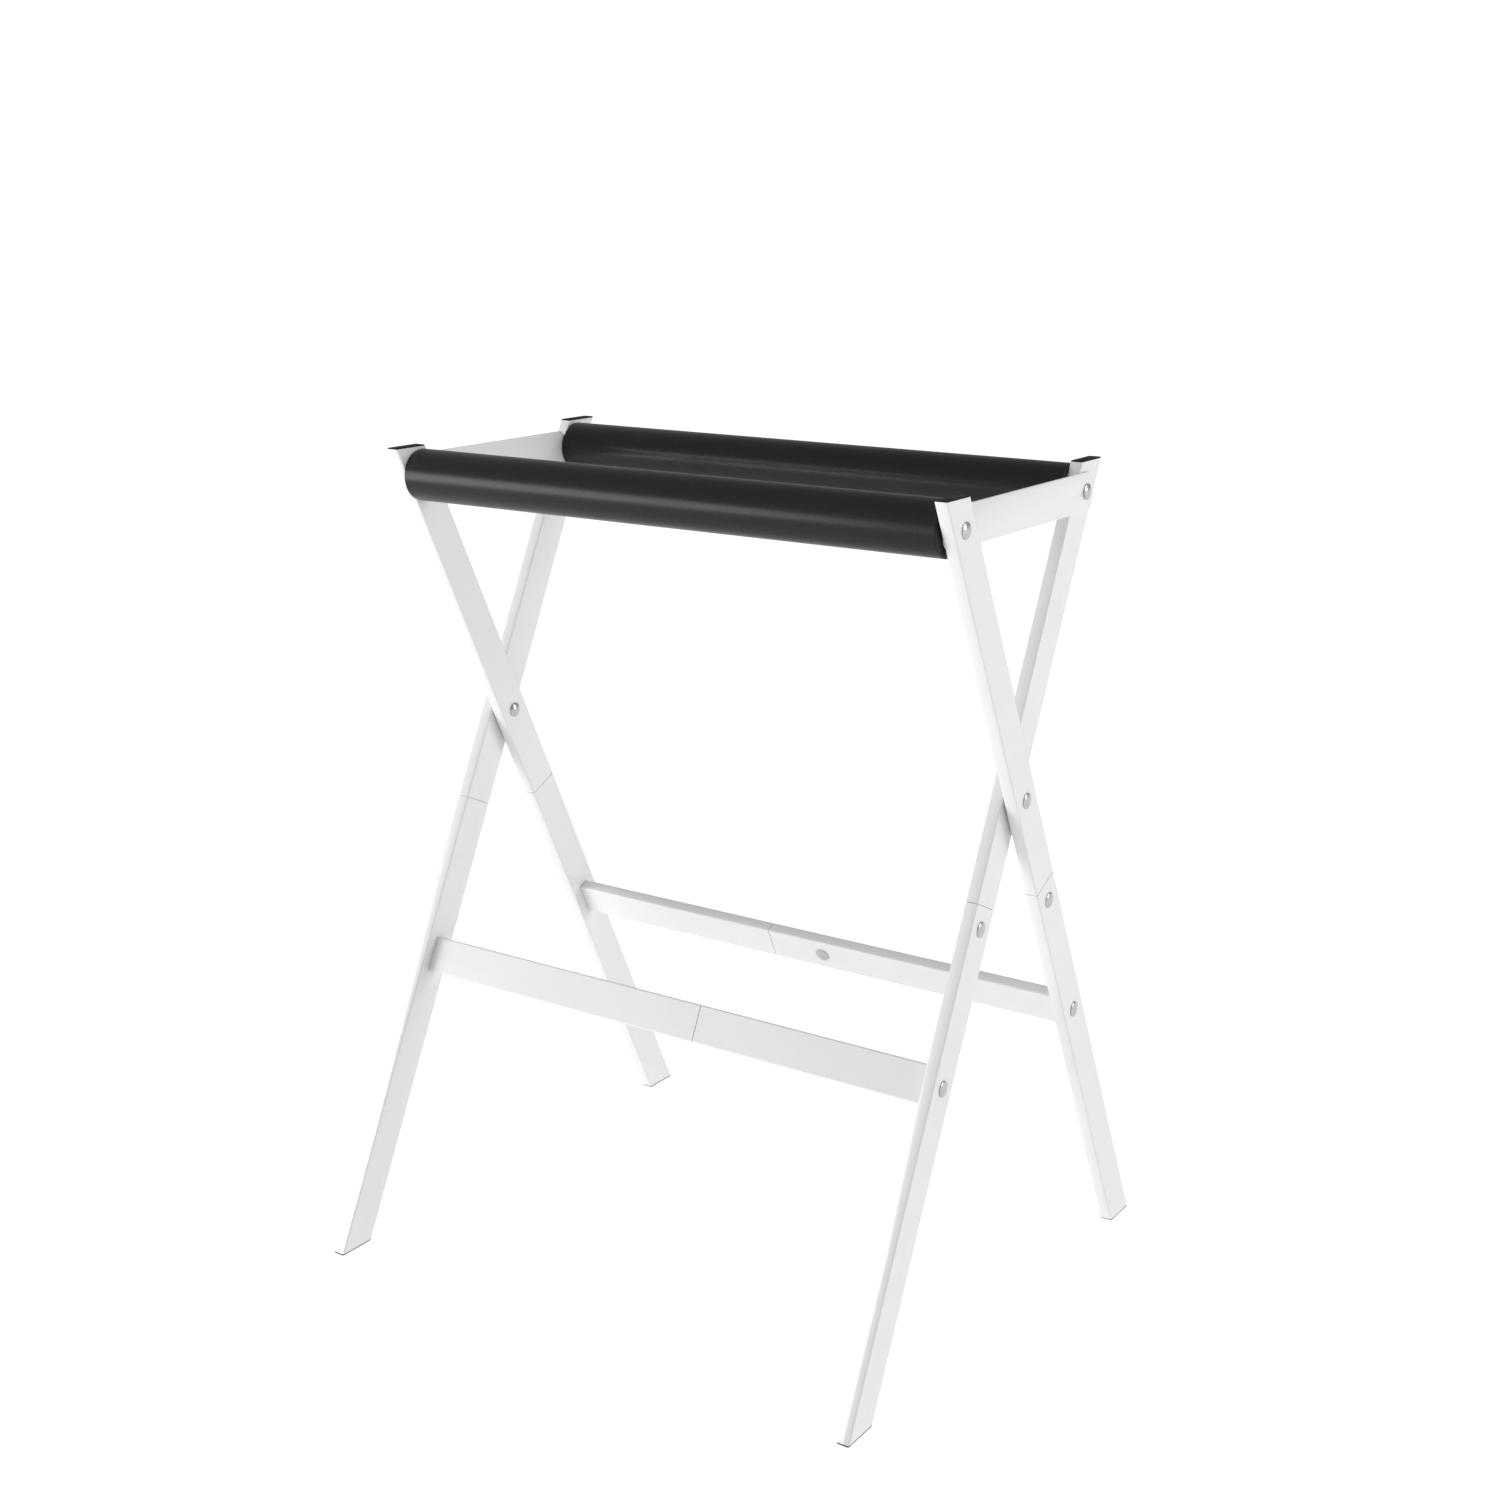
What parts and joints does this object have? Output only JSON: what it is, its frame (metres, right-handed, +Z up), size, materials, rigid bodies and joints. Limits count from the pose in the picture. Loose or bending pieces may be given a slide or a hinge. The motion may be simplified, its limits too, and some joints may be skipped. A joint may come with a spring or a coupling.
{
  "type": "folding sawhorse",
  "caption": "Folding X-leg trestle stand of flat white steel tube with padded black rails, stretchers, crossing pivots and hooked end bars.",
  "frame": {"origin": "on the floor, midway between the feet", "axes": "+Z up, +X along the rails to the right, +Y to the rear; the front is -Y"},
  "size_m": [0.7658, 0.66, 0.98],
  "materials": {
    "white_paint": "gloss",
    "black_foam": "satin",
    "black_plastic": "satin",
    "grey_plastic": "satin",
    "zinc_steel": "satin"
  },
  "bodies": {
    "frame_a": {"a_foot_cap_left": "grey_plastic", "a_foot_cap_right": "grey_plastic", "a_leg_bolt_left": "zinc_steel", "a_leg_bolt_right": "zinc_steel", "a_leg_sleeve_left": "zinc_steel", "a_leg_sleeve_right": "zinc_steel", "a_lower_leg_left": "white_paint", "a_lower_leg_right": "white_paint", "a_rail_bolt_left": "zinc_steel", "a_rail_bolt_right": "zinc_steel", "a_rail_foam": "black_foam", "a_rail_tube": "zinc_steel", "a_sleeve_bolt": "zinc_steel", "a_stretcher_bolt_left": "zinc_steel", "a_stretcher_bolt_right": "zinc_steel", "a_stretcher_long": "white_paint", "a_stretcher_nut_left": "zinc_steel", "a_stretcher_nut_right": "zinc_steel", "a_stretcher_short": "white_paint", "a_stretcher_sleeve": "zinc_steel", "a_top_cap_left": "black_plastic", "a_top_cap_right": "black_plastic", "a_upper_leg_left": "white_paint", "a_upper_leg_right": "white_paint", "pivot_bolt_right": "zinc_steel", "pivot_cap_nut_right": "zinc_steel", "pivot_washer_right": "zinc_steel", "hook_bush_right": "zinc_steel"},
    "frame_b": {"b_foot_cap_left": "grey_plastic", "b_foot_cap_right": "grey_plastic", "b_leg_bolt_left": "zinc_steel", "b_leg_bolt_right": "zinc_steel", "b_leg_sleeve_left": "zinc_steel", "b_leg_sleeve_right": "zinc_steel", "b_lower_leg_left": "white_paint", "b_lower_leg_right": "white_paint", "b_rail_bolt_left": "zinc_steel", "b_rail_bolt_right": "zinc_steel", "b_rail_foam": "black_foam", "b_rail_tube": "zinc_steel", "b_sleeve_bolt": "zinc_steel", "b_stretcher_bolt_left": "zinc_steel", "b_stretcher_bolt_right": "zinc_steel", "b_stretcher_long": "white_paint", "b_stretcher_nut_left": "zinc_steel", "b_stretcher_nut_right": "zinc_steel", "b_stretcher_short": "white_paint", "b_stretcher_sleeve": "zinc_steel", "b_top_cap_left": "black_plastic", "b_top_cap_right": "black_plastic", "b_upper_leg_left": "white_paint", "b_upper_leg_right": "white_paint", "pivot_bolt_left": "zinc_steel", "pivot_cap_nut_left": "zinc_steel", "pivot_washer_left": "zinc_steel", "hook_bush_left": "zinc_steel"},
    "bar_left": {"end_bar_left": "white_paint"},
    "bar_right": {"end_bar_right": "white_paint"}
  },
  "joints": [
    {"name": "fold", "type": "hinge", "parent": "frame_a", "child": "frame_b", "pos_m": [0, 0, 0.62633], "axis": [1, 0, 0], "range_deg": [0, 41.5]},
    {"name": "bar_left_swing", "type": "hinge", "parent": "frame_a", "child": "bar_left", "pos_m": [-0.3634, -0.15569, 0.9455], "axis": [1, 0, 0], "range_deg": [-63.99, 0]},
    {"name": "bar_right_swing", "type": "hinge", "parent": "frame_b", "child": "bar_right", "pos_m": [0.3634, 0.15569, 0.9455], "axis": [1, 0, 0], "range_deg": [0, 63.99]}
  ],
  "couplings": [
    {"joint": "bar_left_swing", "follows": "fold", "ratio": -1.5419},
    {"joint": "bar_right_swing", "follows": "fold", "ratio": 1.5419}
  ]
}
